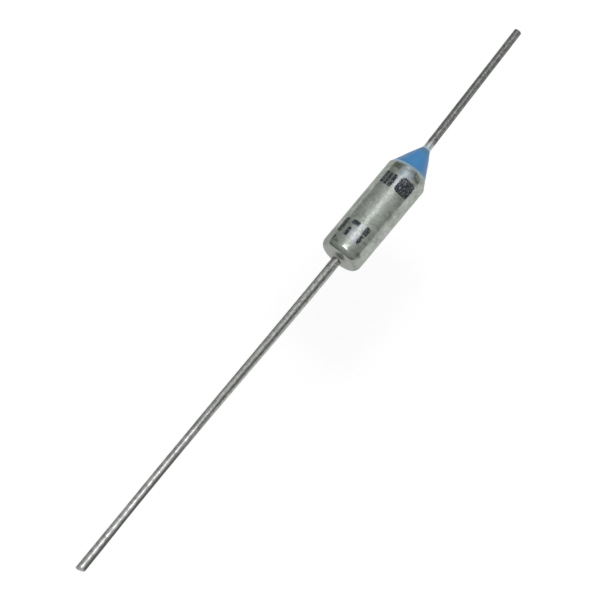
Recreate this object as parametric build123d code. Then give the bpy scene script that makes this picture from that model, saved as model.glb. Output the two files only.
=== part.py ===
from build123d import *
import os
from math import atan2, cos, pi, radians, sin, sqrt, tan

# An axial one-shot thermal cutoff, in millimetres.
# +X runs along the case from its closed end to its sealed end, +Z is up,
# and the origin is the middle of the case's barrel, on its axis.
# In the notes below, a depth is a distance along +X from the closed end's outer face.

# --- case: a drawn cup whose mouth is swaged in over the bushing
case_diameter = 4.1
barrel_length = 9.86
wall = 0.3
end_wall = 0.35
end_corner_radius = 0.65
mouth_wall = 0.2
swage_length = 0.69
rim_diameter = 3.34
collar_height = 0.16
collar_lip = 0.03

# --- case lead: a wire riveted through the closed end
case_lead_diameter = 0.84
case_lead_length = 37.0
case_lead_head_diameter = 1.9
case_lead_head_thickness = 0.4
case_lead_straight = 18.4
case_lead_bend_deg = 0.42
case_lead_bend_radius = 400.0
snip_angle_deg = 15.0

# --- isolated lead: a wire with a domed contact head
isolated_lead_diameter = 0.74
isolated_lead_reach = 13.95
isolated_lead_lean_deg = 2.0
contact_head_diameter = 1.1
contact_head_thickness = 0.4
contact_dome_radius = 1.0
shank_diameter = 0.9
shank_shoulder = 0.05
shank_setback = 0.15

# --- what slides, and what drives it
pellet_length = 2.4
pellet_chamfer = 0.15
disc_thickness = 0.2
compression_wire = 0.36
compression_pitch = 0.6
star_sheet = 0.1
star_depth = 0.5
star_lip = 0.16
finger_count = 8
finger_gap = 0.24
trip_wire = 0.18
trip_pitch = 0.5
trip_spring_flare = 0.2
wire_sides = 7

# --- ceramic bushing, in the mouth
bushing_boss_length = 1.3
bushing_boss_diameter = 1.6
bushing_flange_length = 2.2
bushing_nose_diameter = 2.3
bushing_nose_setback = 0.1
countersink_diameter = 1.5
countersink_depth = 2.0

# --- resin seal
seal_cone_length = 2.48
seal_collar = 0.015
rim_cover = 0.02

# --- clearances
press_clearance = 0.005
bond_clearance = 0.005
seat_clearance = 0.02
slide_clearance = 0.02
disc_clearance = 0.08
spring_clearance = 0.1

# --- radii that follow from the sizes above
case_radius = case_diameter / 2
bore_radius = case_radius - wall
mouth_bore_radius = case_radius - mouth_wall
rim_radius = rim_diameter / 2
case_lead_radius = case_lead_diameter / 2
isolated_lead_radius = isolated_lead_diameter / 2
contact_head_radius = contact_head_diameter / 2
shank_radius = shank_diameter / 2
boss_radius = bushing_boss_diameter / 2
nose_radius = bushing_nose_diameter / 2
lead_hole_radius = case_lead_radius + press_clearance
disc_radius = bore_radius - disc_clearance
compression_mean_radius = bore_radius - spring_clearance - compression_wire / 2
trip_small_radius = boss_radius + spring_clearance / 2 + trip_wire / 2
trip_large_radius = trip_small_radius + trip_spring_flare
star_flat_radius = trip_small_radius + trip_wire / 2 + spring_clearance / 2
star_tip_radius = bore_radius - slide_clearance

# --- the swaged cone, outside and inside
swage_angle = atan2(case_radius - rim_radius, swage_length)
rim_depth = barrel_length + swage_length
rim_inner_depth = rim_depth - mouth_wall * sin(swage_angle)
rim_inner_radius = rim_radius - mouth_wall * cos(swage_angle)
inner_cone_depth = rim_inner_depth - (mouth_bore_radius - rim_inner_radius) / tan(swage_angle)

# --- depths, from the mouth inwards
bushing_shoulder_depth = inner_cone_depth + (rim_inner_depth - inner_cone_depth) * 0.6
seat_depth = bushing_shoulder_depth - bushing_flange_length
boss_face_depth = seat_depth - bushing_boss_length
star_face_depth = boss_face_depth - seat_clearance * 2 - contact_head_thickness
contact_disc_depth = star_face_depth - star_sheet - disc_thickness
nose_face_depth = rim_depth - bushing_nose_setback
countersink_start_depth = nose_face_depth - countersink_depth
apex_depth = rim_depth + seal_cone_length

# --- depths, from the closed end
pellet_start_depth = end_wall + case_lead_head_thickness
pellet_disc_depth = pellet_start_depth + pellet_length

# --- the isolated lead rocks on its dome, so it pivots about the dome's centre
pivot_depth = star_face_depth + contact_dome_radius


def lean_offset(depth):
    """How far the isolated lead's axis stands off the case's axis at a depth."""
    return (depth - pivot_depth) * tan(radians(isolated_lead_lean_deg))


bushing_bore_radius = (
    shank_radius / cos(radians(isolated_lead_lean_deg))
    + max(lean_offset(countersink_start_depth), -lean_offset(boss_face_depth))
    + seat_clearance
)

middle = barrel_length / 2


def turned(outline):
    """A solid turned about the X axis from a closed outline of (depth, radius) points."""
    face = make_face(Polyline(*[(d - middle, r) for d, r in outline], close=True))
    return revolve(face, Axis.X)


def sheet_outline(centreline, thickness):
    """The closed outline of a bent sheet that lies on one side of its first line of points."""
    near, far = [], []
    for i, (d, r) in enumerate(centreline):
        before = centreline[max(i - 1, 0)]
        after = centreline[min(i + 1, len(centreline) - 1)]
        angle_in = atan2(r - before[1], d - before[0]) if i else None
        angle_out = atan2(after[1] - r, after[0] - d) if i < len(centreline) - 1 else None
        angle_in = angle_out if angle_in is None else angle_in
        angle_out = angle_in if angle_out is None else angle_out
        mitre = (angle_in + angle_out) / 2
        reach = thickness / cos((angle_out - angle_in) / 2)
        near.append((d, r))
        far.append((d - reach * sin(mitre), r + reach * cos(mitre)))
    return near + far[::-1]


def coil(start, end, wire, pitch, radius, end_radius):
    """A coil spring between two faces, with both ends ground flat on them."""
    length = end - start
    flare = atan2(end_radius - radius, length) * 180 / pi
    path = Helix(
        pitch, length, radius, (start - middle, 0, 0), (1, 0, 0), cone_angle=flare
    )
    section = Plane(path @ 0, z_dir=path % 0) * RegularPolygon(wire / 2, wire_sides)
    body = sweep(section, path, is_frenet=True)
    room = 4 * max(radius, end_radius)
    return body & Pos((start + end) / 2 - middle, 0, 0) * Box(length, room, room)


def case():
    """Cup with a rounded closed end, a drawn collar round the lead, a seat for the bushing and a swaged mouth."""
    inner_corner = end_corner_radius - wall
    collar_radius = lead_hole_radius + collar_lip
    collar_foot = collar_radius + collar_height
    with BuildPart() as cup:
        with BuildSketch():
            with BuildLine():
                Polyline(
                    (-collar_height - middle, lead_hole_radius),
                    (-collar_height - middle, collar_radius),
                    (-middle, collar_foot),
                    (-middle, case_radius - end_corner_radius),
                )
                outer = RadiusArc(
                    (-middle, case_radius - end_corner_radius),
                    (end_corner_radius - middle, case_radius),
                    end_corner_radius,
                )
                Polyline(
                    outer @ 1,
                    (barrel_length - middle, case_radius),
                    (rim_depth - middle, rim_radius),
                    (rim_inner_depth - middle, rim_inner_radius),
                    (inner_cone_depth - middle, mouth_bore_radius),
                    (seat_depth - middle, mouth_bore_radius),
                    (seat_depth - middle, bore_radius),
                    (end_wall + inner_corner - middle, bore_radius),
                    (end_wall - middle, bore_radius - inner_corner),
                    (end_wall - middle, lead_hole_radius),
                    (-collar_height - middle, lead_hole_radius),
                )
            make_face()
        revolve(axis=Axis.X)
    return cup.part


def case_lead():
    """Long wire with its rivet head inside, a slight bend half way, and a snipped end."""
    root = end_wall - middle
    knee = -case_lead_straight - middle
    run = case_lead_length - case_lead_straight
    bend = radians(case_lead_bend_deg)
    tip = (knee - run * cos(bend), -run * sin(bend))
    path = FilletPolyline((root, 0), (knee, 0), tip, radius=case_lead_bend_radius)
    wire = sweep(Plane(path @ 0, z_dir=path % 0) * Circle(case_lead_radius), path)
    head = turned(
        [
            (end_wall, 0),
            (end_wall, case_lead_head_diameter / 2),
            (pellet_start_depth - seat_clearance, case_lead_head_diameter / 2),
            (pellet_start_depth, case_lead_head_diameter / 2 - 2 * seat_clearance),
            (pellet_start_depth, 0),
        ]
    )
    cutter = Pos(-case_lead_diameter, 0, 0) * Box(
        2 * case_lead_diameter, 4 * case_lead_diameter, 4 * case_lead_diameter
    )
    # the snips leave a slanting face whose middle is at the lead's full length
    snip = Pos(*tip) * Rot(0, 0, case_lead_bend_deg + snip_angle_deg) * cutter
    return wire + head - snip


def isolated_lead():
    """Shorter wire on a tapered shank, whose shoulder the resin holds and whose domed head meets the star contact."""
    # along the wire, from the dome's centre
    dome = contact_dome_radius
    sag = dome - sqrt(dome**2 - contact_head_radius**2)
    head_back = contact_head_thickness - dome
    seal_top = (apex_depth - pivot_depth) / cos(radians(isolated_lead_lean_deg))
    tip = seal_top + isolated_lead_reach
    shank_end = seal_top - shank_setback
    with BuildPart() as wire:
        with BuildSketch():
            with BuildLine():
                Line((tip, 0), (-dome, 0))
                ThreePointArc(
                    (-dome, 0),
                    (-sqrt(dome**2 - contact_head_radius**2 / 4), contact_head_radius / 2),
                    (sag - dome, contact_head_radius),
                )
                Polyline(
                    (sag - dome, contact_head_radius),
                    (head_back, contact_head_radius),
                    (head_back, shank_radius),
                    (shank_end - shank_shoulder, isolated_lead_radius + shank_shoulder),
                    (shank_end, isolated_lead_radius),
                    (tip, isolated_lead_radius),
                    (tip, 0),
                )
            make_face()
        revolve(axis=Axis.X)
        ends = wire.faces().sort_by(Axis.X)[-1].edges()
        chamfer(ends, isolated_lead_radius / 4)
    return Pos(pivot_depth - middle, 0, 0) * Rot(0, 0, isolated_lead_lean_deg) * wire.part


def thermal_pellet():
    """Pressed cylinder with chamfered edges, resting on the rivet head."""
    radius = disc_radius
    return turned(
        [
            (pellet_start_depth, 0),
            (pellet_start_depth, radius - pellet_chamfer),
            (pellet_start_depth + pellet_chamfer, radius),
            (pellet_disc_depth - pellet_chamfer, radius),
            (pellet_disc_depth, radius - pellet_chamfer),
            (pellet_disc_depth, 0),
        ]
    )


def disc(depth):
    """Plain thin disc that slides in the case."""
    return turned(
        [
            (depth, 0),
            (depth, disc_radius),
            (depth + disc_thickness, disc_radius),
            (depth + disc_thickness, 0),
        ]
    )


def star_contact():
    """Dished sheet contact with a ring of fingers whose lips wipe the bore."""
    back = star_face_depth
    sheet = turned(
        sheet_outline(
            [
                (back, 0),
                (back, star_flat_radius),
                (back + star_depth - star_lip, star_tip_radius - star_sheet),
                (back + star_depth, star_tip_radius - star_sheet),
            ],
            star_sheet,
        )
    )
    root = star_flat_radius
    gap = Box(4 * star_depth, bore_radius, finger_gap)
    for spot in PolarLocations(0, finger_count):
        turn = Rot(spot.orientation.Z, 0, 0)
        sheet -= turn * Pos(back - middle, root + bore_radius / 2, 0) * gap
    return sheet


def ceramic_bushing():
    """Stepped bush: a boss inside, a flange held under the swaged cone, and a countersunk nose."""
    slope = tan(swage_angle)
    flange_radius = mouth_bore_radius - seat_clearance
    cone_start = inner_cone_depth - seat_clearance
    shoulder_radius = flange_radius - (bushing_shoulder_depth - cone_start) * slope
    return turned(
        [
            (boss_face_depth, bushing_bore_radius),
            (boss_face_depth, boss_radius),
            (seat_depth, boss_radius),
            (seat_depth, flange_radius),
            (cone_start, flange_radius),
            (bushing_shoulder_depth, shoulder_radius),
            (bushing_shoulder_depth, nose_radius),
            (nose_face_depth, nose_radius),
            (nose_face_depth, countersink_diameter / 2),
            (countersink_start_depth, bushing_bore_radius),
        ]
    )


def epoxy_seal(lead):
    """Resin that fills the mouth round the bushing's nose and rises in a cone to the lead."""
    gap = bond_clearance
    slope = tan(swage_angle)
    fill_start = bushing_shoulder_depth + gap
    fill_radius = mouth_bore_radius - (fill_start - inner_cone_depth) * slope - gap
    plug = turned(
        [
            (countersink_start_depth + gap, 0),
            (countersink_start_depth + gap, bushing_bore_radius - gap),
            (nose_face_depth + gap, countersink_diameter / 2 - gap),
            (nose_face_depth + gap, nose_radius + gap),
            (fill_start, nose_radius + gap),
            (fill_start, fill_radius),
            (rim_inner_depth, rim_inner_radius - gap),
            (rim_depth + gap, rim_inner_radius - gap),
            (rim_depth + gap, 0),
        ]
    )
    foot = Plane((rim_depth + gap - middle, 0, 0), z_dir=(1, 0, 0)) * Circle(rim_radius - rim_cover)
    crown = Plane(
        (apex_depth - middle, lean_offset(apex_depth), 0),
        z_dir=(cos(radians(isolated_lead_lean_deg)), sin(radians(isolated_lead_lean_deg)), 0),
    ) * Circle(isolated_lead_radius + seal_collar)
    cone = loft([foot, crown], ruled=True)
    return plug + cone - lead


os.makedirs("parts", exist_ok=True)
inner_wire = isolated_lead()
parts = {
    "case": case(),
    "case_lead": case_lead(),
    "thermal_pellet": thermal_pellet(),
    "pellet_disc": disc(pellet_disc_depth),
    "compression_spring": coil(
        pellet_disc_depth + disc_thickness,
        contact_disc_depth,
        compression_wire,
        compression_pitch,
        compression_mean_radius,
        compression_mean_radius,
    ),
    "contact_disc": disc(contact_disc_depth),
    "star_contact": star_contact(),
    "trip_spring": coil(
        star_face_depth,
        seat_depth,
        trip_wire,
        trip_pitch,
        trip_small_radius,
        trip_large_radius,
    ),
    "ceramic_bushing": ceramic_bushing(),
    "isolated_lead": inner_wire,
    "epoxy_seal": epoxy_seal(inner_wire),
}
for name, piece in parts.items():
    export_step(piece, f"parts/{name}.step")
    print(name, round(piece.volume, 3), [round(v, 3) for v in piece.bounding_box().size])
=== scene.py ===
import math

import bmesh
import bpy
from mathutils import Matrix, Vector, noise


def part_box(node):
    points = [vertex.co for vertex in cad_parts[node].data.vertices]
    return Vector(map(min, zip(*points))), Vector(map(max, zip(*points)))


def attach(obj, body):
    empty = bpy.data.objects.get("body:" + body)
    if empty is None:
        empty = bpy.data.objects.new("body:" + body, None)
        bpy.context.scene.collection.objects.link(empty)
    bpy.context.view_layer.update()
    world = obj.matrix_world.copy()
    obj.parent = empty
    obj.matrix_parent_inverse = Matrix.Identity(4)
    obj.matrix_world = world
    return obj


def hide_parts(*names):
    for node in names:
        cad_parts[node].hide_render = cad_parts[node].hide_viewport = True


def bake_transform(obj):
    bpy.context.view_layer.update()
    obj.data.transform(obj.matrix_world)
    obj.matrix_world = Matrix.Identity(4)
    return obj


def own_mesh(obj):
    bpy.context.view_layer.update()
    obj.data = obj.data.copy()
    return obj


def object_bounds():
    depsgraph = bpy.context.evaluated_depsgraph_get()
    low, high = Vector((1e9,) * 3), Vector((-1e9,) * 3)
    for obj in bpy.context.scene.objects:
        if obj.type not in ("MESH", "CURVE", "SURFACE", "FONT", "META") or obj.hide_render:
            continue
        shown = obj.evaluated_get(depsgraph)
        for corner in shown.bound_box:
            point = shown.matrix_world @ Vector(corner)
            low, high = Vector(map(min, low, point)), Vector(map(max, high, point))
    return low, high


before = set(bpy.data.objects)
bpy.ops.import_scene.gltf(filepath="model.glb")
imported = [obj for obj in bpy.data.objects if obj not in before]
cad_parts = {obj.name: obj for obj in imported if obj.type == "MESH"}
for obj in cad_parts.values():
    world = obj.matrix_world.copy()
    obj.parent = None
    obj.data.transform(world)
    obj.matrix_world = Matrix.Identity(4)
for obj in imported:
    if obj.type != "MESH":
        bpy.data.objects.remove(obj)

mm = 0.001
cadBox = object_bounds()
print("frame loaded:", ", ".join(sorted(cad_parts)))


# ---- colour and node helpers

def linear(hexColour):
    # sRGB hex to the linear values that the shaders work in
    channels = [int(hexColour[i:i + 2], 16) / 255 for i in (1, 3, 5)]
    return [c / 12.92 if c <= 0.04045 else ((c + 0.055) / 1.055) ** 2.4 for c in channels] + [1.0]


def addNode(tree, kind, values=None, links=None, **settings):
    # one node with its settings, its fixed inputs and what feeds it: an output, or a node's first live one
    node = tree.nodes.new(kind)
    for setting, value in settings.items():
        setattr(node, setting, value)
    for socket, value in (values or {}).items():
        node.inputs[socket].default_value = value
    for socket, source in (links or {}).items():
        if isinstance(source, bpy.types.Node):
            source = next(output for output in source.outputs if output.enabled)
        tree.links.new(source, node.inputs[socket])
    return node


def startMaterial(name):
    material = bpy.data.materials.new(name)
    material.use_nodes = True
    material.node_tree.nodes.clear()
    return material, material.node_tree


def endMaterial(tree, shader):
    addNode(tree, "ShaderNodeOutputMaterial", links={"Surface": shader})


# ---- mesh helpers

onAxis = 1e-9      # a radius this small counts as zero
arcStep = 0.1      # turn between the points on a rounded corner
leastTurn = 0.02   # a corner that turns less than this stays sharp


def softened(corners, spacing):
    # closed outline of (x, radius, rounding) corners: arcs at the corners, short steps between them;
    # a fourth value sets the step for the run that follows the corner
    count = len(corners)
    points = []
    for i, corner in enumerate(corners):
        x, r, rounding = corner[:3]
        step = corner[3] if len(corner) > 3 else spacing
        here = Vector((x, r))
        before = Vector(corners[i - 1][:2]) - here
        after = Vector(corners[(i + 1) % count][:2]) - here
        turn = math.pi - before.angle(after)
        if rounding and turn > leastTurn:
            reach = rounding * math.tan(turn / 2)
            a = here + before.normalized() * reach
            b = here + after.normalized() * reach
            steps = max(3, int(turn / arcStep))
            for k in range(steps + 1):
                t = k / steps
                w = 2 * math.cos(turn / 2) * t * (1 - t)
                whole = (1 - t) ** 2 + w + t ** 2
                points.append(((a * (1 - t) ** 2 + here * w + b * t ** 2) / whole, step))
        else:
            points.append((here, step))
    outline = []
    for i, (point, step) in enumerate(points):
        onward = points[(i + 1) % len(points)][0]
        gap = (onward - point).length
        steps = max(1, math.ceil(gap / step))
        if point.y < onAxis and onward.y < onAxis:
            steps = 1
        for k in range(steps):
            outline.append(tuple(point.lerp(onward, k / steps)))
    return outline


def turned(name, outline, segments):
    # solid of revolution about X from a closed outline; points on the axis become poles
    bm = bmesh.new()
    rows = []
    for x, r in outline:
        if r < onAxis:
            rows.append([bm.verts.new((x, 0, 0))])
            continue
        angles = [2 * math.pi * k / segments for k in range(segments)]
        rows.append([bm.verts.new((x, r * math.sin(a), r * math.cos(a))) for a in angles])
    for i, row in enumerate(rows):
        after = rows[(i + 1) % len(rows)]
        if len(row) == 1 and len(after) == 1:
            continue
        for k in range(segments):
            n = (k + 1) % segments
            ring = [row[k % len(row)], row[n % len(row)], after[n % len(after)], after[k % len(after)]]
            bm.faces.new(list(dict.fromkeys(ring)))
    bmesh.ops.recalc_face_normals(bm, faces=bm.faces)
    return finished(name, bm)


def finished(name, bm):
    mesh = bpy.data.meshes.new(name)
    bm.to_mesh(mesh)
    bm.free()
    mesh.polygons.foreach_set("use_smooth", [True] * len(mesh.polygons))
    piece = bpy.data.objects.new(name, mesh)
    bpy.context.scene.collection.objects.link(piece)
    return piece


def unevenness(piece, depth, size, along=1.0):
    # pushes each point in or out a little, as handling and plating leave a soft metal
    mesh = piece.data
    normals = [v.normal.copy() for v in mesh.vertices]
    for vertex, normal in zip(mesh.vertices, normals):
        spot = Vector((vertex.co.x / along, vertex.co.y, vertex.co.z)) / size
        vertex.co += normal * depth * noise.noise(spot)


def smooth(low, high, value):
    # 0 below low, 1 above high, and an even ease between them
    t = min(1.0, max(0.0, (value - low) / (high - low)))
    return t * t * (3 - 2 * t)


def dress(piece, body, material, slot, *nodes):
    # finish, body and the solids that the piece stands for
    piece.data.materials.clear()
    piece.data.materials.append(material)
    if nodes:
        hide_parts(*nodes)
    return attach(piece, body)


# ---- camera: a long lens, high over the closed end

cameraSettings = {
    "azimuth": -51.84,
    "elevation": 70,
    "lens": 1000,
    "viewWidth": 53.21 * mm,
    "aim": Vector((-10.076, 0.23, 0)) * mm,
}


def makeCamera(s):
    a = math.radians(s["azimuth"])
    e = math.radians(s["elevation"])
    back = Vector((math.sin(a) * math.cos(e), -math.cos(a) * math.cos(e), math.sin(e)))
    data = bpy.data.cameras.new("camera")
    data.lens = s["lens"]
    distance = s["viewWidth"] * s["lens"] / data.sensor_width
    data.clip_start = distance / 20
    data.clip_end = distance * 10
    camera = bpy.data.objects.new("camera", data)
    camera.location = s["aim"] + back * distance
    camera.rotation_euler = (-back).to_track_quat("-Z", "Y").to_euler()
    bpy.context.scene.collection.objects.link(camera)
    bpy.context.scene.camera = camera


makeCamera(cameraSettings)
print("camera placed")

# ---- light: a soft sky over a white table, and one strip lamp across the leads

skySettings = {
    "horizon": 0.52,
    # each lobe: its middle, what it adds there, and its spread, where higher is tighter
    "ceiling": (Vector((0.268, -0.050, 0.962)), 0.48, 2.6),
    "softbox": (Vector((0.268, 0.015, 0.963)), 0.46, 34),
    "window": (Vector((0.945, 0.110, 0.305)), 0.80, 45),
    "sheet": 1.25,    # white sheet that stands low on the near side
    "sheetTop": (0.04, 0.07),
    "sheetSide": (0.4, 0.7),
    "gap": 0.16,    # dark gaps over the table's edge, each side of the case lead
    "gapTop": (0.10, 0.40),
    "gapSide": (0.2, 0.5),
    "gapInner": (0.10, 0.35),
}
lampSettings = {
    "place": Vector((30, -20, 250)) * mm,
    "sizeX": 30 * mm,
    "sizeY": 120 * mm,
    "power": 0.075,
}
tableSettings = {
    "drop": 18 * mm,       # below the case, so the wires stand clear of their shadow
    "halfSide": 1.5,
    "paper": "#F2F2F2",
    "lift": 0.285,    # what brings the lit paper up to white where it is looked at
}


def makeSky(s):
    world = bpy.data.worlds.new("softSky")
    bpy.context.scene.world = world
    world.use_nodes = True
    tree = world.node_tree
    tree.nodes.clear()
    place = addNode(tree, "ShaderNodeTexCoord").outputs["Generated"]
    level = None
    for middle, strength, spread in (s["ceiling"], s["softbox"], s["window"]):
        towards = addNode(tree, "ShaderNodeVectorMath", {1: middle.normalized()}, {0: place},
                          operation="DOT_PRODUCT")
        ahead = addNode(tree, "ShaderNodeMath", {1: 0.0}, {0: towards}, operation="MAXIMUM")
        lobe = addNode(tree, "ShaderNodeMath", {1: spread}, {0: ahead}, operation="POWER")
        lit = addNode(tree, "ShaderNodeMath", {1: strength, 2: s["horizon"]}, {0: lobe},
                      operation="MULTIPLY_ADD")
        if level:
            tree.links.new(level.outputs[0], lit.inputs[2])
        level = lit
    parts = addNode(tree, "ShaderNodeSeparateXYZ", links={0: place})
    for name, axis in (("gap", "X"), ("sheet", "Y")):
        bottom, top = s[name + "Top"]
        inner, outer = s[name + "Side"]
        low = addNode(tree, "ShaderNodeMapRange", {"From Min": top, "From Max": bottom},
                      {"Value": parts.outputs["Z"]}, interpolation_type="SMOOTHSTEP")
        side = addNode(tree, "ShaderNodeMapRange", {"From Min": -inner, "From Max": -outer},
                       {"Value": parts.outputs[axis]}, interpolation_type="SMOOTHSTEP")
        share = addNode(tree, "ShaderNodeMath", links={0: low, 1: side}, operation="MULTIPLY")
        if name == "gap":
            sideways = addNode(tree, "ShaderNodeMath", links={0: parts.outputs["Y"]}, operation="ABSOLUTE")
            apart = addNode(tree, "ShaderNodeMapRange",
                            {"From Min": s["gapInner"][0], "From Max": s["gapInner"][1]},
                            {"Value": sideways}, interpolation_type="SMOOTHSTEP")
            share = addNode(tree, "ShaderNodeMath", links={0: share, 1: apart}, operation="MULTIPLY")
        level = addNode(tree, "ShaderNodeMix", {3: s[name]}, {0: share, 2: level})
    sky = addNode(tree, "ShaderNodeBackground", {"Color": linear("#FFFFFF")}, {"Strength": level})
    addNode(tree, "ShaderNodeOutputWorld", links={"Surface": sky})


def makeLamp(s):
    data = bpy.data.lights.new("stripLamp", "AREA")
    data.shape = "RECTANGLE"
    data.size = s["sizeX"]
    data.size_y = s["sizeY"]
    data.energy = s["power"]
    lamp = bpy.data.objects.new("stripLamp", data)
    lamp.location = s["place"]
    lamp.visible_camera = False
    bpy.context.scene.collection.objects.link(lamp)


def makeTable(s):
    material, tree = startMaterial("mattPaper")
    paper = addNode(tree, "ShaderNodeBsdfDiffuse", {"Color": linear(s["paper"])})
    ray = addNode(tree, "ShaderNodeLightPath")
    seen = ray.outputs["Is Camera Ray"]
    for kind in ("Is Glossy Ray", "Is Transmission Ray"):
        seen = addNode(tree, "ShaderNodeMath", links={0: seen, 1: ray.outputs[kind]}, operation="MAXIMUM")
    lift = addNode(tree, "ShaderNodeMath", {1: s["lift"]}, {0: seen}, operation="MULTIPLY")
    glow = addNode(tree, "ShaderNodeEmission", links={"Strength": lift})
    both = addNode(tree, "ShaderNodeAddShader", links={0: paper, 1: glow})
    endMaterial(tree, both)
    side = s["halfSide"]
    level = cadBox[0].z - s["drop"]
    mesh = bpy.data.meshes.new("paperTable")
    corners = [(-side, -side, level), (side, -side, level), (side, side, level), (-side, side, level)]
    mesh.from_pydata(corners, [], [(0, 1, 2, 3)])
    mesh.materials.append(material)
    table = bpy.data.objects.new("paperTable", mesh)
    bpy.context.scene.collection.objects.link(table)


makeSky(skySettings)
makeLamp(lampSettings)
makeTable(tableSettings)
bpy.context.scene.view_settings.view_transform = "Standard"
print("light and table set")

# ---- places that the pieces share, read from the frame where it has them

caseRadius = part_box("case")[1].z
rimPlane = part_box("case")[1].x
collarHeight = 0.16 * mm
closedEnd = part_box("case")[0].x + collarHeight
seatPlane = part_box("trip_spring")[1].x
domeRadius = 1.0 * mm
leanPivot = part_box("isolated_lead")[0].x + domeRadius
lean = math.radians(2.0)
rimRadius = 1.67 * mm
apex = closedEnd + 13.03 * mm


def leaned(piece):
    # the isolated lead rocks on its contact dome, and the mouth and resin follow it
    piece.data.transform(Matrix.Translation((leanPivot, 0, 0)) @ Matrix.Rotation(lean, 4, "Z"))
    return piece


def trueCorners(s):
    # the cup's section, from the collar round the lead, over the outside, and back through the bore
    x0 = closedEnd
    slope = math.atan2(caseRadius - rimRadius, rimPlane - x0 - s["barrelLength"])
    bore = caseRadius - s["wall"]
    mouthBore = caseRadius - s["mouthWall"]
    rimInner = (rimPlane - s["mouthWall"] * math.sin(slope), rimRadius - s["mouthWall"] * math.cos(slope))
    innerCone = rimInner[0] - (mouthBore - rimInner[1]) / math.tan(slope)
    edge = s["edge"]
    lip = s["leadHole"] + s["collarLip"]
    return slope, [
        (x0 - collarHeight, s["leadHole"], 0),
        (x0 - collarHeight, lip, s["collarLip"] / 2),
        (x0, lip + s["collarSpread"], s["collarFillet"]),
        (x0, caseRadius, s["cornerRadius"]),
        (x0 + s["barrelLength"] - s["fineRun"], caseRadius, 0, s["fineSpacing"]),
        (x0 + s["barrelLength"], caseRadius, 0, s["fineSpacing"]),
        (rimPlane, rimRadius, edge),
        (rimInner[0], rimInner[1], edge / 2),
        (innerCone, mouthBore, 0),
        (seatPlane, mouthBore, 0),
        (seatPlane, bore, 0),
        (x0 + s["endWall"], bore, s["cornerRadius"] - s["wall"]),
        (x0 + s["endWall"], s["leadHole"], 0),
    ]


# ---- case: a drawn brass cup with a silver plate, its mouth swaged in over the bushing

caseShape = {
    "cornerRadius": 0.65 * mm,
    "wall": 0.3 * mm,
    "endWall": 0.35 * mm,
    "mouthWall": 0.2 * mm,
    "barrelLength": 9.86 * mm,
    "leadHole": 0.465 * mm,
    "collarLip": 0.025 * mm,
    "collarSpread": 0.20 * mm,    # how much wider the collar is at its foot than at its lip
    "collarFillet": 0.30 * mm,
    "taper": 0.014 * mm,    # the drawn end is this much smaller in radius than the barrel
    "taperRun": (0.3, 1.3),
    "edge": 0.06 * mm,
    "fineRun": 0.30 * mm,    # finer steps over this length before the shoulder
    "crookedRun": 0.36 * mm,    # the crooked swaging starts this far before the shoulder
    "crookedEase": 0.24 * mm,
    "shoulderRounding": 0.045 * mm,
    "spacing": 0.12 * mm,
    "fineSpacing": 0.04 * mm,
    "segments": 192,
    "unevenDepth": 0.006 * mm,
    "unevenSize": 1.4 * mm,
}


def makeCase(s):
    slope, corners = trueCorners(s)
    piece = turned("platedCase", softened(corners, s["spacing"]), s["segments"])
    # the swaging was a little crooked: the cone is square to the leaning lead, not to the barrel
    start = closedEnd + s["barrelLength"] - s["crookedRun"]
    rounding = s["shoulderRounding"]
    for vertex in piece.data.vertices:
        x, y, z = vertex.co
        r = math.hypot(y, z)
        straightCone = rimRadius + (rimPlane - x) * math.tan(slope)
        if x < start or r < min(caseRadius, straightCone) - s["mouthWall"] / 2:
            continue
        side = y / r
        offset = (x - leanPivot) * math.tan(lean)
        cone = offset * side + math.sqrt(straightCone ** 2 - (offset * (1 - side ** 2) ** 0.5) ** 2)
        near = max(0.0, rounding - abs(cone - caseRadius)) / rounding
        target = min(cone, caseRadius) - rounding * near ** 2 / 4
        target += r - min(caseRadius, straightCone)
        ease = smooth(start, start + s["crookedEase"], x)
        vertex.co.x -= ease * y * math.tan(lean) * smooth(start, rimPlane, x)
        vertex.co.y *= 1 + ease * (target / r - 1)
        vertex.co.z *= 1 + ease * (target / r - 1)
    for vertex in piece.data.vertices:
        x, y, z = vertex.co
        r = math.hypot(y, z)
        short = s["taper"] * (1 - smooth(s["taperRun"][0], s["taperRun"][1], (x - closedEnd) / mm))
        if r > caseRadius - s["wall"] / 2:
            vertex.co.y *= 1 - short / r
            vertex.co.z *= 1 - short / r
    unevenness(piece, s["unevenDepth"], s["unevenSize"])
    return piece


platingSettings = {
    "silver": "#9CA19B",
    "tarnish": "#7E857B",
    "bright": "#B0B5B0",
    "paintedSheenSide": (-0.74, -0.87),      # painted highlight: the side that faces -Y is brightened a little
    "paintedSheenGain": (1.19, 1.19, 1.19, 1.0),
    "worked": (2.4 * mm, 1.0 * mm),    # drawing left the closed end duller
    "workedShare": 0.4,
    "endFace": "#A9ABA7",
    "edgeTint": "#D8D8D8",    # the dull film on the silver keeps its edges from flaring
    "roughness": (0.12, 0.22),
    "endRoughness": 0.42,
    "collarRoughness": 0.55,
    "cloud": 1.3 * mm,
    "grain": 0.30 * mm,
    "drawLine": 0.09 * mm,     # real draw lines are a few hundredths wide; drawn coarser so that they show
    "drawLineLength": 2.2 * mm,
    "bumpHeight": 0.006 * mm,
    "lineShare": 0.5,    # how much of the draw lines is added to the grain's relief
    "endFaceRun": (0.12 * mm, 0.02 * mm),    # past the end's face, where its own tone fades in
    "collarRun": (0.9 * mm, 0.6 * mm),       # off the axis, where the collar's roughness fades in
    # levels of the noise between which the tarnish and the bright grain set in
    "cloudRange": (0.35, 0.68),
    "grainRange": (0.42, 0.75),
    "grainFullest": 0.8,
}

# marks are (depth, arc, half depth, half arc, rounding) in mm; arc 0 lies this far from the top towards -Y
markFacing = math.radians(12.7)
pinholeRange = (0.64, 0.54)    # levels of the noise from open pinhole to whole ink

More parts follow.
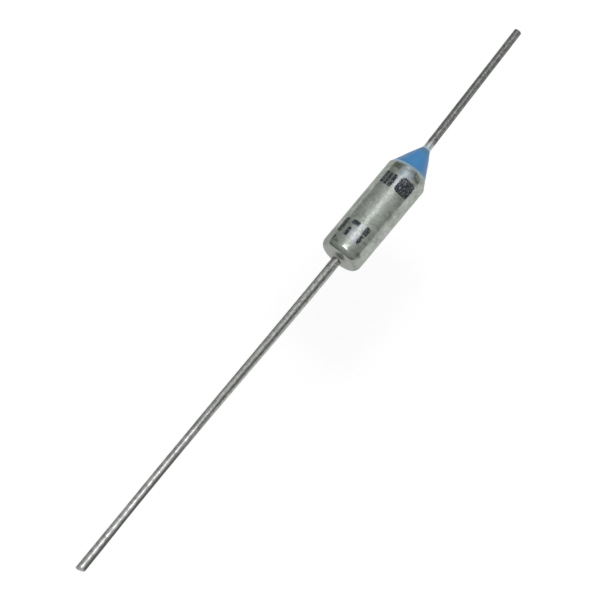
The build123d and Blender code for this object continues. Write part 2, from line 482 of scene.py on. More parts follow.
# plain bars and spots, no lettering
inkSettings = {
    "ink": "#161A26",
    "roughness": 0.5,
    "gloss": 0.3,
    "edge": 0.04 * mm,
    "wear": 0.16 * mm,
    "pinhole": 0.11 * mm,
    "thinnest": 0.45,
    "fullest": 0.97,
    "marks": [
        (2.45, -1.80, 0.66, 0.12, 0.11),
        (2.05, -0.98, 0.36, 0.08, 0.11),
        (3.10, -0.82, 0.12, 0.28, 0.11),
        (2.05, 0.42, 0.34, 0.06, 0.12),
        (3.00, 0.45, 0.30, 0.14, 0.12),
        (8.25, -1.66, 0.55, 0.08, 0.12),
        (8.25, -1.22, 0.55, 0.08, 0.12),
        (8.25, -0.78, 0.55, 0.08, 0.12),
        (8.37, 0.55, 0.42, 0.42, 0.38),
        (1.03, -1.72, 0.10, 0.03, 0.08),
    ],
}
hazeSettings = {
    "tone": "#B9BAC8",
    "edge": 0.3 * mm,
    "wear": 0.5 * mm,
    "pinhole": 0.2 * mm,
    "thinnest": 0.1,
    "fullest": 0.5,
    "marks": [
        (2.35, -0.20, 0.60, 0.40, 0.15),
        (8.60, -0.25, 0.60, 0.40, 0.15),
    ],
}
wipeSettings = {
    "tone": "#8A98A3",
    "edge": 0.16 * mm,
    "wear": 0.5 * mm,
    "pinhole": 0.2 * mm,
    "thinnest": 0.35,
    "fullest": 0.75,
    "marks": [
        (9.62, -0.24, 0.36, 0.50, 0.15),
    ],
}
# painted dark reflections: dark marks on the swaged shoulder and at the closed end's corner
paintedDarkReflectionSettings = {
    "tone": "#5C6457",
    "edge": 0.07 * mm,
    "wear": 0.3 * mm,
    "pinhole": 0.12 * mm,
    "thinnest": 0.3,
    "fullest": 0.85,
    "marks": [
        (9.76, -1.28, 0.22, 0.40, 0.10),
        (9.86, 0.86, 0.26, 0.34, 0.10),
        (0.92, 1.26, 0.08, 0.20, 0.10),
        (0.72, -1.42, 0.05, 0.30, 0.06),
    ],
}

filmSettings = {
    "film": "#89A5B7",
    "blue": "#2C7FBB",
    "start": 2.92 * mm,    # along the leaning lead, from the point that it leans about
    "end": 3.06 * mm,
    "blueStart": 3.12 * mm,
    "blueEnd": 3.36 * mm,
    "tilt": 0.075,    # it crept further on the +Y side
    "roughness": 0.36,
    "ragged": 0.06 * mm,
}


def alongLead(tree, place, tilt=0.0):
    # distance along the leaning lead from the point that it leans about, with a tilt towards +Y
    axis = (math.cos(lean), math.sin(lean) + tilt, 0)
    along = addNode(tree, "ShaderNodeVectorMath", {1: axis}, {0: place}, operation="DOT_PRODUCT")
    return addNode(tree, "ShaderNodeMath", {1: leanPivot * math.cos(lean)}, {0: along}, operation="SUBTRACT")


def sideShare(tree, normal, start, end):
    # how far the surface faces towards +Y, from start to end, as a share from 0 to 1
    parts = addNode(tree, "ShaderNodeSeparateXYZ", links={0: normal})
    return addNode(tree, "ShaderNodeMapRange", {"From Min": start, "From Max": end},
                   {"Value": parts.outputs["Y"]}, interpolation_type="SMOOTHSTEP")


def markShare(tree, place, s):
    # distance to the nearest mark, with worn edges and pinholes, as a share from 0 to 1
    parts = addNode(tree, "ShaderNodeSeparateXYZ", links={0: place})
    depth = addNode(tree, "ShaderNodeMath", {1: closedEnd}, {0: parts.outputs["X"]}, operation="SUBTRACT")
    minusY = addNode(tree, "ShaderNodeMath", {1: -1.0}, {0: parts.outputs["Y"]}, operation="MULTIPLY")
    turn = addNode(tree, "ShaderNodeMath", links={0: minusY, 1: parts.outputs["Z"]}, operation="ARCTAN2")
    turn = addNode(tree, "ShaderNodeMath", {1: markFacing}, {0: turn}, operation="SUBTRACT")
    arc = addNode(tree, "ShaderNodeMath", {1: caseRadius}, {0: turn}, operation="MULTIPLY")
    flat = addNode(tree, "ShaderNodeCombineXYZ", links={0: depth, 1: arc})
    nearest = None
    for x, y, halfX, halfY, rounding in s["marks"]:
        away = addNode(tree, "ShaderNodeVectorMath", {1: (x * mm, y * mm, 0)}, {0: flat},
                       operation="SUBTRACT")
        away = addNode(tree, "ShaderNodeVectorMath", links={0: away}, operation="ABSOLUTE")
        away = addNode(tree, "ShaderNodeVectorMath", {1: (halfX * mm, halfY * mm, 0)}, {0: away},
                       operation="SUBTRACT")
        away = addNode(tree, "ShaderNodeVectorMath", {1: (0, 0, 0)}, {0: away}, operation="MAXIMUM")
        away = addNode(tree, "ShaderNodeVectorMath", links={0: away}, operation="LENGTH")
        gap = addNode(tree, "ShaderNodeMath", {1: rounding * mm}, {0: away}, operation="SUBTRACT")
        if nearest:
            gap = addNode(tree, "ShaderNodeMath", links={0: gap, 1: nearest}, operation="MINIMUM")
        nearest = gap
    # the noise moves each mark's edge in or out by up to twice its softness
    wear = addNode(tree, "ShaderNodeTexNoise", {"Scale": 1 / s["wear"], "Detail": 3.0}, {"Vector": place})
    worn = addNode(tree, "ShaderNodeMath", {1: 4 * s["edge"], 2: -2 * s["edge"]}, {0: wear},
                   operation="MULTIPLY_ADD")
    gap = addNode(tree, "ShaderNodeMath", links={0: nearest, 1: worn}, operation="ADD")
    solid = addNode(tree, "ShaderNodeMapRange", {"From Min": s["edge"], "From Max": -s["edge"]},
                    {"Value": gap})
    holes = addNode(tree, "ShaderNodeTexNoise", {"Scale": 1 / s["pinhole"], "Detail": 1.0},
                    {"Vector": place})
    kept = addNode(tree, "ShaderNodeMapRange",
                   {"From Min": pinholeRange[0], "From Max": pinholeRange[1], "To Min": s["thinnest"],
                    "To Max": s["fullest"]}, {"Value": holes})
    return addNode(tree, "ShaderNodeMath", links={0: solid, 1: kept}, operation="MULTIPLY")


def silverPlatedBrass(s, ink, haze, wipe, paintedDarkReflections, film):
    # silver over drawn brass, gone slightly grey-green: satin, cloudy, with faint draw lines along it;
    # black pad print worn through in pinholes, and a thin resin film on the swaged lip;
    # painted highlight down the -Y flank and painted dark reflections at the closed end's corner and the
    # shoulder
    material, tree = startMaterial("silverPlatedBrass")
    spots = addNode(tree, "ShaderNodeTexCoord").outputs
    place = spots["Object"]
    parts = addNode(tree, "ShaderNodeSeparateXYZ", links={0: place})
    clouds = addNode(tree, "ShaderNodeTexNoise", {"Scale": 1 / s["cloud"], "Detail": 3.0, "Roughness": 0.6},
                     {"Vector": place})
    grain = addNode(tree, "ShaderNodeTexNoise", {"Scale": 1 / s["grain"], "Detail": 2.0, "Roughness": 0.6},
                    {"Vector": place})
    stretched = addNode(tree, "ShaderNodeMapping", {"Scale": (s["drawLine"] / s["drawLineLength"], 1, 1)},
                        {"Vector": place})
    lines = addNode(tree, "ShaderNodeTexNoise", {"Scale": 1 / s["drawLine"], "Detail": 1.0},
                    {"Vector": stretched})
    cloudShare = addNode(tree, "ShaderNodeMapRange",
                         {"From Min": s["cloudRange"][0], "From Max": s["cloudRange"][1]}, {"Value": clouds})
    grainShare = addNode(tree, "ShaderNodeMapRange",
                         {"From Min": s["grainRange"][0], "From Max": s["grainRange"][1],
                          "To Max": s["grainFullest"]}, {"Value": grain})
    endShare = addNode(tree, "ShaderNodeMapRange",
                       {"From Min": closedEnd + s["endFaceRun"][0],
                        "From Max": closedEnd + s["endFaceRun"][1]}, {"Value": parts.outputs["X"]})
    tone = addNode(tree, "ShaderNodeMix", {6: linear(s["silver"]), 7: linear(s["tarnish"])}, {0: cloudShare},
                   data_type="RGBA")
    tone = addNode(tree, "ShaderNodeMix", {7: linear(s["bright"])}, {0: grainShare, 6: tone},
                   data_type="RGBA")
    share = addNode(tree, "ShaderNodeMapRange",
                    {"From Min": closedEnd + s["worked"][0], "From Max": closedEnd + s["worked"][1],
                     "To Max": s["workedShare"]}, {"Value": parts.outputs["X"]})
    tone = addNode(tree, "ShaderNodeMix", {7: linear(s["tarnish"])}, {0: share, 6: tone}, data_type="RGBA")
    # painted highlight down the flank that faces -Y
    side = sideShare(tree, spots["Normal"], *s["paintedSheenSide"])
    tone = addNode(tree, "ShaderNodeMix", {7: s["paintedSheenGain"]}, {0: side, 6: tone}, data_type="RGBA",
                   blend_type="MULTIPLY")
    tone = addNode(tree, "ShaderNodeMix", {7: linear(s["endFace"])}, {0: endShare, 6: tone},
                   data_type="RGBA")
    rough = addNode(tree, "ShaderNodeMapRange", {"To Min": s["roughness"][0], "To Max": s["roughness"][1]},
                    {"Value": clouds})
    offAxis = addNode(tree, "ShaderNodeVectorMath", {1: (0, 1, 1)}, {0: place}, operation="MULTIPLY")
    offAxis = addNode(tree, "ShaderNodeVectorMath", links={0: offAxis}, operation="LENGTH")
    collarShare = addNode(tree, "ShaderNodeMapRange",
                          {"From Min": s["collarRun"][0], "From Max": s["collarRun"][1]}, {"Value": offAxis})
    for level, share in ((s["endRoughness"], endShare), (s["collarRoughness"], collarShare)):
        rough = addNode(tree, "ShaderNodeMix", {3: level}, {0: share, 2: rough})
    # painted dark reflections at the closed end's corner and the shoulder, hazy round the print, and bluish
    # where resin was wiped off
    for layer in (paintedDarkReflections, haze, wipe):
        share = markShare(tree, place, layer)
        tone = addNode(tree, "ShaderNodeMix", {7: linear(layer["tone"])}, {0: share, 6: tone},
                       data_type="RGBA")
    # the resin film fades in over the lip
    along = alongLead(tree, place, film["tilt"])
    ragged = addNode(tree, "ShaderNodeMath", {1: film["ragged"] * 2, 2: -film["ragged"]}, {0: grain},
                     operation="MULTIPLY_ADD")
    along = addNode(tree, "ShaderNodeMath", links={0: along, 1: ragged}, operation="ADD")
    filmed = {}
    for name, start, end in (("film", "start", "end"), ("blue", "blueStart", "blueEnd")):
        filmed[name] = addNode(tree, "ShaderNodeMapRange", {"From Min": film[start], "From Max": film[end]},
                               {"Value": along}, interpolation_type="SMOOTHSTEP")
        tone = addNode(tree, "ShaderNodeMix", {7: linear(film[name])}, {0: filmed[name], 6: tone},
                       data_type="RGBA")
    rough = addNode(tree, "ShaderNodeMix", {3: film["roughness"]}, {0: filmed["film"], 2: rough})
    # the ink lies over all of it
    share = markShare(tree, place, ink)
    tone = addNode(tree, "ShaderNodeMix", {7: linear(ink["ink"])}, {0: share, 6: tone}, data_type="RGBA")
    rough = addNode(tree, "ShaderNodeMix", {3: ink["roughness"]}, {0: share, 2: rough})
    covered = addNode(tree, "ShaderNodeMath", links={0: share, 1: filmed["film"]}, operation="MAXIMUM")
    bare = addNode(tree, "ShaderNodeMath", {0: 1.0}, {1: covered}, operation="SUBTRACT")
    relief = addNode(tree, "ShaderNodeMath", {1: s["lineShare"]}, {0: lines, 2: grain},
                     operation="MULTIPLY_ADD")
    bump = addNode(tree, "ShaderNodeBump", {"Distance": s["bumpHeight"], "Strength": 1.0},
                   {"Height": relief})
    metal = addNode(tree, "ShaderNodeBsdfPrincipled",
                    {"Specular Tint": linear(s["edgeTint"]), "Specular IOR Level": ink["gloss"]},
                    {"Base Color": tone, "Roughness": rough, "Metallic": bare, "Normal": bump})
    endMaterial(tree, metal)
    return material


plating = silverPlatedBrass(platingSettings, inkSettings, hazeSettings, wipeSettings, paintedDarkReflectionSettings,
                            filmSettings)
dress(makeCase(caseShape), "case_body", plating, "case_plating", "case")
print("case made")

# ---- leads: tinned copper wire

wireSettings = {
    "tin": "#A3A4A3",
    "dull": "#747673",
    "edgeTint": "#B8B8B8",
    "roughness": (0.16, 0.30),
    "paintedLight": "#B4B6B2",       # painted highlight in a band down the +Y side and one under the -Y side of the gripped run
    # painted shade over the rest of the gripped run
    "paintedShade": "#696B68",
    "paintedTipShade": "#5E605D",      # painted shade down the -Y side of the outer end
    "fresh": "#AEB3B3",        # bright tin that the resin kept clean
    # painted highlight: the outer end is brightened, except where it faces +Y
    "outerHighlightGain": (1.42, 1.42, 1.42, 1.0),
    "outerSmooth": -0.75,      # less mottled there
    # how far each side faces towards +Y where its finish starts and where it is whole
    "sides": {
        "paintedLightTop": (-0.20, 0.18),
        "paintedLightPast": (0.80, 0.45),
        "paintedLightUnder": (-0.62, -0.88),
        "paintedTipShade": (-0.52, -0.76),
        "outerHighlightSide": (0.62, 0.30),
    },
    # the same for each run along X
    "runs": {
        "gripStart": (-27 * mm, -21 * mm),
        "gripEnd": (-5.5 * mm, -7 * mm),
        "tail": (8.3 * mm, 9.8 * mm),
        "outer": (-22 * mm, -30 * mm),
        "fresh": (8.9 * mm, 8.45 * mm),
    },
    "freshFrom": 8.0 * mm,
    # how much rougher the wire is where it was gripped, at its tail and at its outer end
    "jawRough": 0.12,
    "tailRough": 0.02,
    "outerRough": 0.10,
    "gripDull": 0.6,
    "jawShare": 0.8,
    "blotch": 0.5 * mm,
    "blotchRange": (0.35, 0.7),
    "mottle": 0.20 * mm,
    "mottleLevels": (0.3, 0.7),
    "mottleRange": (0.66, 1.34),
    "dieLine": 0.08 * mm,      # finer on real wire; drawn as coarse as it needs to show
    "dieLineLength": 3 * mm,
    "lineShare": 0.5,
    "bumpHeight": 0.003 * mm,
}


def tinnedCopper(s):
    # hot-tinned drawn wire: bright where the tin flowed, duller where it was gripped, with long die lines;
    # painted highlights and shade down its sides where it was gripped, and at its outer end
    material, tree = startMaterial("tinnedCopper")
    spots = addNode(tree, "ShaderNodeTexCoord").outputs
    place = spots["Object"]
    parts = addNode(tree, "ShaderNodeSeparateXYZ", links={0: place})
    blotches = addNode(tree, "ShaderNodeTexNoise",
                       {"Scale": 1 / s["blotch"], "Detail": 3.0, "Roughness": 0.6}, {"Vector": place})
    stretched = addNode(tree, "ShaderNodeMapping", {"Scale": (s["dieLine"] / s["dieLineLength"], 1, 1)},
                        {"Vector": place})
    lines = addNode(tree, "ShaderNodeTexNoise", {"Scale": 1 / s["dieLine"], "Detail": 1.0},
                    {"Vector": stretched})
    run = {}
    for name, (start, end) in s["runs"].items():
        run[name] = addNode(tree, "ShaderNodeMapRange", {"From Min": start, "From Max": end},
                            {"Value": parts.outputs["X"]}, interpolation_type="SMOOTHSTEP")
    side = {name: sideShare(tree, spots["Normal"], *span) for name, span in s["sides"].items()}
    past = addNode(tree, "ShaderNodeMath", {1: s["freshFrom"]}, {0: parts.outputs["X"]},
                   operation="GREATER_THAN")
    # a finish lies where two runs or sides meet, or over either of them
    share = {}
    for name, first, second in (("jaws", run["gripStart"], run["gripEnd"]),
                                ("paintedLightBand", side["paintedLightTop"], side["paintedLightPast"]),
                                ("bright", side["outerHighlightSide"], run["outer"]),
                                ("tipShade", side["paintedTipShade"], run["outer"]),
                                ("clean", run["fresh"], past)):
        share[name] = addNode(tree, "ShaderNodeMath", links={0: first, 1: second}, operation="MULTIPLY")
    for name, first, second in (("grip", share["jaws"], run["tail"]),
                                ("paintedLight", share["paintedLightBand"], side["paintedLightUnder"])):
        share[name] = addNode(tree, "ShaderNodeMath", links={0: first, 1: second}, operation="MAXIMUM")
    worn = addNode(tree, "ShaderNodeMapRange",
                   {"From Min": s["blotchRange"][0], "From Max": s["blotchRange"][1]}, {"Value": blotches})
    worn = addNode(tree, "ShaderNodeMath", {1: s["gripDull"]}, {0: share["grip"], 2: worn},
                   operation="MULTIPLY_ADD", use_clamp=True)
    tone = addNode(tree, "ShaderNodeMix", {6: linear(s["tin"]), 7: linear(s["dull"])}, {0: worn},
                   data_type="RGBA")
    # painted highlight and painted shade over the gripped run, by which way the surface faces
    paintedLight = addNode(tree, "ShaderNodeMix", {6: linear(s["paintedShade"]), 7: linear(s["paintedLight"])},
                     {0: share["paintedLight"]}, data_type="RGBA")
    part = addNode(tree, "ShaderNodeMath", {1: s["jawShare"]}, {0: share["jaws"]}, operation="MULTIPLY")
    tone = addNode(tree, "ShaderNodeMix", links={0: part, 6: tone, 7: paintedLight}, data_type="RGBA")
    # painted highlight over the outer end, except where it faces +Y
    tone = addNode(tree, "ShaderNodeMix", {7: s["outerHighlightGain"]}, {0: share["bright"], 6: tone},
                   data_type="RGBA", blend_type="MULTIPLY")
    # painted shade down the -Y side of the outer end
    tone = addNode(tree, "ShaderNodeMix", {7: linear(s["paintedTipShade"])}, {0: share["tipShade"], 6: tone},
                   data_type="RGBA")
    mottle = addNode(tree, "ShaderNodeTexNoise", {"Scale": 1 / s["mottle"], "Detail": 1.0},
                     {"Vector": place})
    mottled = addNode(tree, "ShaderNodeMapRange",
                      {"From Min": s["mottleLevels"][0], "From Max": s["mottleLevels"][1],
                       "To Min": s["mottleRange"][0], "To Max": s["mottleRange"][1]}, {"Value": mottle})
    uneven = addNode(tree, "ShaderNodeMath", {1: s["outerSmooth"], 2: 1.0}, {0: run["outer"]},
                     operation="MULTIPLY_ADD")
    tone = addNode(tree, "ShaderNodeMix", links={0: uneven, 6: tone, 7: mottled}, data_type="RGBA",
                   blend_type="MULTIPLY")
    tone = addNode(tree, "ShaderNodeMix", {7: linear(s["fresh"])}, {0: share["clean"], 6: tone},
                   data_type="RGBA")
    rough = addNode(tree, "ShaderNodeMapRange", {"To Min": s["roughness"][0], "To Max": s["roughness"][1]},
                    {"Value": blotches})
    for where, amount in ((share["jaws"], s["jawRough"]), (run["tail"], s["tailRough"]),
                          (run["outer"], s["outerRough"])):
        rough = addNode(tree, "ShaderNodeMath", {1: amount}, {0: where, 2: rough}, operation="MULTIPLY_ADD")
    relief = addNode(tree, "ShaderNodeMath", {1: s["lineShare"]}, {0: lines, 2: blotches},
                     operation="MULTIPLY_ADD")
    bump = addNode(tree, "ShaderNodeBump", {"Distance": s["bumpHeight"], "Strength": 1.0},
                   {"Height": relief})
    metal = addNode(tree, "ShaderNodeBsdfPrincipled",
                    {"Metallic": 1.0, "Specular Tint": linear(s["edgeTint"])},
                    {"Base Color": tone, "Roughness": rough, "Normal": bump})
    endMaterial(tree, metal)
    return material


tin = tinnedCopper(wireSettings)

caseLeadShape = {
    "length": 37.0 * mm,
    "straight": 18.4 * mm,
    "bend": math.radians(0.42),
    "bendRadius": 400 * mm,
    "snipAngle": math.radians(15.42),
    "radius": 0.395 * mm,    # of the bare middle of the wire
    # what the tin adds to the radius: how much, and the distances out, in mm, that it changes between
    "thickByCase": (0.0635 * mm, 1.5, 22),
    "thickByTip": (0.04 * mm, 29, 37),
    "shankLimit": 0.5135 * mm,    # points within this radius belong to the wire, not to its head
    "slantRun": 1.185 * mm,
    # handling left it a few hundredths off straight: sideways shift and distances out, in mm
    "drift": [(0.033, 0, 2.4), (-0.078, 5, 27), (0.052, 26, 37)],
    "headRadius": 0.95 * mm,
    "headThickness": 0.4 * mm,
    "headEdge": 0.04 * mm,
    "endWall": 0.35 * mm,
    "edge": 0.05 * mm,
    "spacing": 0.18 * mm,
    "segments": 64,
    "unevenDepth": 0.006 * mm,
    "unevenSize": 0.5 * mm,
}


def makeCaseLead(s):
    # turned straight, thickened by its tin, then eased sideways past its knee, with a slanted snip
    inner = closedEnd + s["endWall"]
    tip = closedEnd - s["length"]
    corners = [
        (tip, 0, 0),
        (tip, s["radius"], s["edge"]),
        (inner, s["radius"], 0),
        (inner, s["headRadius"], 0),
        (inner + s["headThickness"], s["headRadius"], s["headEdge"]),
        (inner + s["headThickness"], 0, 0),
    ]
    piece = turned("caseLead", softened(corners, s["spacing"]), s["segments"])
    unevenness(piece, s["unevenDepth"], s["unevenSize"], along=2.0)
    knee = closedEnd - s["straight"]
    half = s["bendRadius"] * math.tan(s["bend"] / 2)
    byCase, caseNear, caseFar = s["thickByCase"]
    byTip, tipNear, tipFar = s["thickByTip"]
    for vertex in piece.data.vertices:
        x, y, z = vertex.co
        out = (closedEnd - x) / mm
        if x < inner and math.hypot(y, z) < s["shankLimit"]:
            added = byCase * (1 - smooth(caseNear, caseFar, out)) + byTip * smooth(tipNear, tipFar, out)
            y *= 1 + added / s["radius"]
            z *= 1 + added / s["radius"]
        slant = min(1.0, max(0.0, (tip + s["slantRun"] - x) / s["slantRun"]))
        x -= slant * math.tan(s["snipAngle"]) * y
        past = knee + half - x
        if past > 2 * half:
            sag = (past - half) * math.tan(s["bend"])
        elif past > 0:
            sag = past ** 2 / (2 * s["bendRadius"])
        else:
            sag = 0.0
        sag += sum(shift * smooth(near, far, out) for shift, near, far in s["drift"]) * mm
        vertex.co = (x, y - sag, z)
    return piece


dress(makeCaseLead(caseLeadShape), "case_body", tin, "tinned_wire", "case_lead")

isolatedLeadShape = {
    "radius": 0.355 * mm,
    "thickBySeal": 0.025 * mm,
    "thickRun": 9 * mm,
    "reach": 13.95 * mm,
    "headRadius": 0.55 * mm,
    "headThickness": 0.4 * mm,
    "headEdge": 0.02 * mm,
    "domeSteps": 6,
    "snipEdge": 0.05 * mm,
    "shankRadius": 0.45 * mm,
    "shankShoulder": 0.05 * mm,
    "shankSetback": 0.15 * mm,
    "spacing": 0.18 * mm,
    "segments": 64,
    "unevenDepth": 0.006 * mm,
    "unevenSize": 0.5 * mm,
}


def makeIsolatedLead(s):
    # turned about X with the centre of its contact dome at zero, then leaned about that
    dome = domeRadius
    sealTop = (apex - leanPivot) / math.cos(lean)
    far = sealTop + s["reach"]
    shankEnd = sealTop - s["shankSetback"]
    headBack = s["headThickness"] - dome
    domePoints = []
    for k in range(s["domeSteps"] + 1):
        r = s["headRadius"] * k / s["domeSteps"]
        domePoints.append((-math.sqrt(dome ** 2 - r ** 2), r, 0))
    corners = domePoints + [
        (headBack, s["headRadius"], s["headEdge"]),
        (headBack, s["shankRadius"], 0),
        (shankEnd - s["shankShoulder"], s["radius"] + s["shankShoulder"], 0),
        (shankEnd, s["radius"] + s["thickBySeal"], 0),
        (shankEnd + s["thickRun"], s["radius"], 0),
        (far - s["radius"] / 4, s["radius"], s["snipEdge"]),
        (far, s["radius"] * 3 / 4, s["snipEdge"]),
        (far, 0, 0),
    ]
    piece = turned("isolatedLead", softened(corners, s["spacing"]), s["segments"])
    unevenness(piece, s["unevenDepth"], s["unevenSize"], along=2.0)
    return leaned(piece)


dress(makeIsolatedLead(isolatedLeadShape), "case_body", tin, "tinned_wire", "isolated_lead")
print("leads made")

# ---- resin seal: a cone drawn up the lead by the wet resin

resinShape = {
    "foot": 1.665 * mm,
    "crown": 0.385 * mm,
    "fullness": 0.04 * mm,    # the cone's side is a little fuller than straight
    "feather": 0.12 * mm,    # thin resin drawn up the lead past the apex
    "leadRadius": 0.376 * mm,
    "sink": 0.25 * mm,    # how far it stands down in the mouth
    "sinkRadius": 1.45 * mm,
    "lip": (0.02 * mm, 0.005 * mm),    # where it steps out over the mouth, short of the rim
    "sideRounding": 3 * mm,
    "neck": (0.10 * mm, 0.06 * mm),    # how far before the apex it narrows to the lead, and how much wider
    "neckRounding": 0.3 * mm,
    "spacing": 0.06 * mm,
    "segments": 160,
    "unevenDepth": 0.012 * mm,
    "unevenSize": 0.9 * mm,
}


def makeResin(s):
    rim = (rimPlane - leanPivot) / math.cos(lean)
    top = (apex - leanPivot) / math.cos(lean)
    corners = [
        (rim - s["sink"], 0, 0),
        (rim - s["sink"], s["sinkRadius"], 0),
        (rim - s["lip"][0], s["sinkRadius"], 0),
        (rim - s["lip"][1], s["foot"], 0),
        ((rim + top) / 2, (s["foot"] + s["crown"]) / 2 + s["fullness"], s["sideRounding"]),
        (top - s["neck"][0], s["crown"] + s["neck"][1], s["neckRounding"]),
        (top + s["feather"], s["leadRadius"], 0),
        (top + s["feather"], 0, 0),
    ]
    piece = turned("resinCone", softened(corners, s["spacing"]), s["segments"])
    unevenness(piece, s["unevenDepth"], s["unevenSize"])
    return leaned(piece)


resinSettings = {
    "blue": "#2C7FBB",
    "teal": "#2A82B2",
    "deep": "#2A74B2",
    "paintedFlankShade": "#3C75AA",    # painted shade: duller and greyer down both flanks
    "paintedFlankSide": (0.25, 0.80),
    "apexTone": "#46759A",    # duller and greyer towards the apex
    "apexRun": (-0.95 * mm, -0.25 * mm),
    "sheer": "#AEBFC4",    # where it thins out on the wire
    "sheerRun": (-0.20 * mm, 0.04 * mm),
    "tealRange": (0.4, 0.65),
    "deepRange": (0.5, 0.75),
    "deepFullest": 0.6,
    "roughness": (0.34, 0.46),
    "cloud": 0.9 * mm,
    "speck": 0.12 * mm,
    "bumpHeight": 0.004 * mm,
}


def blueEpoxy(s, film):
    # pigmented potting epoxy, cured in the open: an even blue with a soft gloss, pale where it is thin;
    # painted shade down both flanks
    material, tree = startMaterial("blueEpoxy")
    spots = addNode(tree, "ShaderNodeTexCoord").outputs
    place = spots["Object"]
    clouds = addNode(tree, "ShaderNodeTexNoise", {"Scale": 1 / s["cloud"], "Detail": 2.0}, {"Vector": place})
    specks = addNode(tree, "ShaderNodeTexNoise", {"Scale": 1 / s["speck"], "Detail": 2.0}, {"Vector": place})
    along = alongLead(tree, place)
    crept = alongLead(tree, place, film["tilt"])
    top = (apex - leanPivot) / math.cos(lean)
    toTeal = addNode(tree, "ShaderNodeMapRange",
                     {"From Min": s["tealRange"][0], "From Max": s["tealRange"][1]}, {"Value": clouds})
    tone = addNode(tree, "ShaderNodeMix", {6: linear(s["blue"]), 7: linear(s["teal"])}, {0: toTeal},
                   data_type="RGBA")
    toDeep = addNode(tree, "ShaderNodeMapRange",
                     {"From Min": s["deepRange"][0], "From Max": s["deepRange"][1],
                      "To Max": s["deepFullest"]}, {"Value": specks})
    # painted shade down both flanks, by which way the surface faces
    mirrored = addNode(tree, "ShaderNodeVectorMath", links={0: spots["Normal"]}, operation="ABSOLUTE")
    side = sideShare(tree, mirrored, *s["paintedFlankSide"])
    towardsApex = addNode(tree, "ShaderNodeMapRange",
                   {"From Min": top + s["apexRun"][0], "From Max": top + s["apexRun"][1]},
                   {"Value": along}, interpolation_type="SMOOTHSTEP")
    for colour, share in ((s["deep"], toDeep), (s["paintedFlankShade"], side), (s["apexTone"], towardsApex)):
        tone = addNode(tree, "ShaderNodeMix", {7: linear(colour)}, {0: share, 6: tone}, data_type="RGBA")
    thick = addNode(tree, "ShaderNodeMapRange", {"From Min": film["blueStart"], "From Max": film["blueEnd"]},
                    {"Value": crept}, interpolation_type="SMOOTHSTEP")
    tone = addNode(tree, "ShaderNodeMix", {6: linear(film["film"])}, {0: thick, 7: tone}, data_type="RGBA")
    thin = addNode(tree, "ShaderNodeMapRange",
                   {"From Min": top + s["sheerRun"][0], "From Max": top + s["sheerRun"][1]},
                   {"Value": along}, interpolation_type="SMOOTHSTEP")
    tone = addNode(tree, "ShaderNodeMix", {7: linear(s["sheer"])}, {0: thin, 6: tone}, data_type="RGBA")
    rough = addNode(tree, "ShaderNodeMapRange", {"To Min": s["roughness"][0], "To Max": s["roughness"][1]},
                    {"Value": clouds})
    bump = addNode(tree, "ShaderNodeBump", {"Distance": s["bumpHeight"], "Strength": 1.0},
                   {"Height": specks})
    resin = addNode(tree, "ShaderNodeBsdfPrincipled", {"IOR": 1.55},
                    {"Base Color": tone, "Roughness": rough, "Normal": bump})
    endMaterial(tree, resin)
    return material


epoxy = blueEpoxy(resinSettings, filmSettings)
dress(makeResin(resinShape), "case_body", epoxy, "resin_blue", "epoxy_seal")
print("seal made")

# ---- what is inside: pellet, springs, discs, star contact and bushing

innerSettings = {
    "pressedPellet": {"light": "#DDD6C0", "dark": "#C9C0A6", "grain": 0.06 * mm, "roughness": 0.9,
                      "metallic": 0.0, "bump": 0.01 * mm},
    "stampedBrass": {"light": "#C6A869", "dark": "#A98B50", "grain": 0.25 * mm, "roughness": 0.3,
                     "metallic": 1.0, "bump": 0.002 * mm},
    "silverPlatedSheet": {"light": "#D4D2CC", "dark": "#B7B4AC", "grain": 0.2 * mm, "roughness": 0.26,
                          "metallic": 1.0, "bump": 0.002 * mm},
    "drawnSpringWire": {"light": "#9A9B9D", "dark": "#7C7D80", "grain": 0.12 * mm, "roughness": 0.28,
                        "metallic": 1.0, "bump": 0.002 * mm},
    "firedSteatite": {"light": "#E8E3D6", "dark": "#D6CFBE", "grain": 0.12 * mm, "roughness": 0.62,
                      "metallic": 0.0, "bump": 0.006 * mm},
}
grainRange = (0.35, 0.65)
roughSpread = 0.1      # of the roughness, up and down


def innerMaterial(name):
    # two close tones and a fine relief: powder grain, rolled sheet, drawn wire or fired body
    s = innerSettings[name]
    material, tree = startMaterial(name)
    place = addNode(tree, "ShaderNodeTexCoord").outputs["Object"]
    grain = addNode(tree, "ShaderNodeTexNoise", {"Scale": 1 / s["grain"], "Detail": 4.0, "Roughness": 0.6},
                    {"Vector": place})
    share = addNode(tree, "ShaderNodeMapRange", {"From Min": grainRange[0], "From Max": grainRange[1]},
                    {"Value": grain})
    tone = addNode(tree, "ShaderNodeMix", {6: linear(s["light"]), 7: linear(s["dark"])}, {0: share},
                   data_type="RGBA")
    rough = addNode(tree, "ShaderNodeMapRange",
                    {"To Min": s["roughness"] * (1 - roughSpread),
                     "To Max": s["roughness"] * (1 + roughSpread)}, {"Value": grain})
    bump = addNode(tree, "ShaderNodeBump", {"Distance": s["bump"], "Strength": 1.0}, {"Height": grain})
    shader = addNode(tree, "ShaderNodeBsdfPrincipled", {"Metallic": s["metallic"]},
                     {"Base Color": tone, "Roughness": rough, "Normal": bump})
    endMaterial(tree, shader)
    return material


brass = innerMaterial("stampedBrass")
carriedOver = {
    "pellet_disc": brass,
    "contact_disc": brass,
    "star_contact": innerMaterial("silverPlatedSheet"),
    "ceramic_bushing": innerMaterial("firedSteatite"),
}
for name, material in carriedOver.items():
    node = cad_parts[name]
    node.data.materials.clear()
    node.data.materials.append(material)

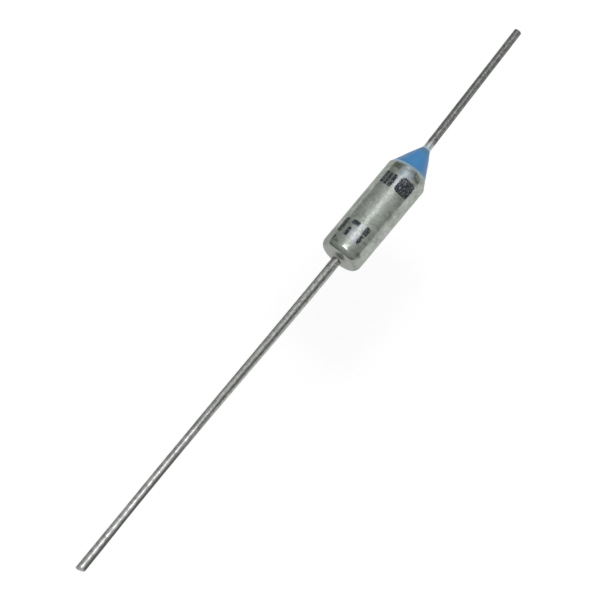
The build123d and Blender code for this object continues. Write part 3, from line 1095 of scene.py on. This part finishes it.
pelletShape = {
    "chamfer": 0.15 * mm,
    "edge": 0.04 * mm,
    "spacing": 0.2 * mm,
    "segments": 96,
    "unevenDepth": 0.004 * mm,
    "unevenSize": 0.3 * mm,
    "melted": 0.344,    # of its length, once it has flowed away
}


def makePellet(s):
    low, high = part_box("thermal_pellet")
    radius = high.z
    cut = s["chamfer"]
    corners = [
        (low.x, 0, 0),
        (low.x, radius - cut, s["edge"]),
        (low.x + cut, radius, s["edge"]),
        (high.x - cut, radius, s["edge"]),
        (high.x, radius - cut, s["edge"]),
        (high.x, 0, 0),
    ]
    piece = turned("thermalPellet", softened(corners, s["spacing"]), s["segments"])
    unevenness(piece, s["unevenDepth"], s["unevenSize"])
    return piece


pressed = innerMaterial("pressedPellet")
pellet = dress(makePellet(pelletShape), "case_body", pressed, "pellet", "thermal_pellet")
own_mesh(pellet)

springWire = innerMaterial("drawnSpringWire")
springShapes = {
    "compressionSpring": {"node": "compression_spring", "wire": 0.36 * mm, "pitch": 0.6 * mm,
                          "startRadius": 1.47 * mm, "endRadius": 1.47 * mm,
                          "bodies": ("pellet_follower", "contact_carriage")},
    "tripSpring": {"node": "trip_spring", "wire": 0.18 * mm, "pitch": 0.5 * mm,
                   "startRadius": 0.94 * mm, "endRadius": 1.14 * mm,
                   "bodies": ("contact_carriage", "case_body")},
}
closedTurns = 0.75     # at each end of a spring
stepsPerTurn = 36
wireSides = 14


def makeSpring(name, s):
    # round wire on a helix whose end turns lie closed against their neighbours
    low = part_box(s["node"])[0].x + s["wire"] / 2
    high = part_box(s["node"])[1].x - s["wire"] / 2
    openTurns = (high - low - 2 * closedTurns * s["wire"]) / s["pitch"]
    turns = openTurns + 2 * closedTurns
    steps = int(turns * stepsPerTurn)
    spine = []
    for k in range(steps + 1):
        t = turns * k / steps
        x = low + s["wire"] * min(t, closedTurns)
        x += s["pitch"] * min(max(t - closedTurns, 0), openTurns)
        x += s["wire"] * max(t - closedTurns - openTurns, 0)
        radius = s["startRadius"] + (s["endRadius"] - s["startRadius"]) * k / steps
        angle = 2 * math.pi * t
        spine.append(Vector((x, radius * math.sin(angle), radius * math.cos(angle))))
    bm = bmesh.new()
    rings = []
    for k, point in enumerate(spine):
        onward = spine[min(k + 1, steps)] - spine[max(k - 1, 0)]
        outward = Vector((0, point.y, point.z)).normalized()
        across = onward.cross(outward).normalized()
        ring = []
        for j in range(wireSides):
            a = 2 * math.pi * j / wireSides
            ring.append(bm.verts.new(point + (outward * math.cos(a) + across * math.sin(a)) * s["wire"] / 2))
        rings.append(ring)
    for ring, after in zip(rings, rings[1:]):
        for j in range(wireSides):
            n = (j + 1) % wireSides
            bm.faces.new((ring[j], ring[n], after[n], after[j]))
    bm.faces.new(rings[0])
    bm.faces.new(rings[-1][::-1])
    bmesh.ops.recalc_face_normals(bm, faces=bm.faces)
    piece = finished(name, bm)
    piece.data.materials.append(springWire)
    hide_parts(s["node"])
    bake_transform(piece)


for name, shape in springShapes.items():
    makeSpring(name, shape)
print("inner pieces made")
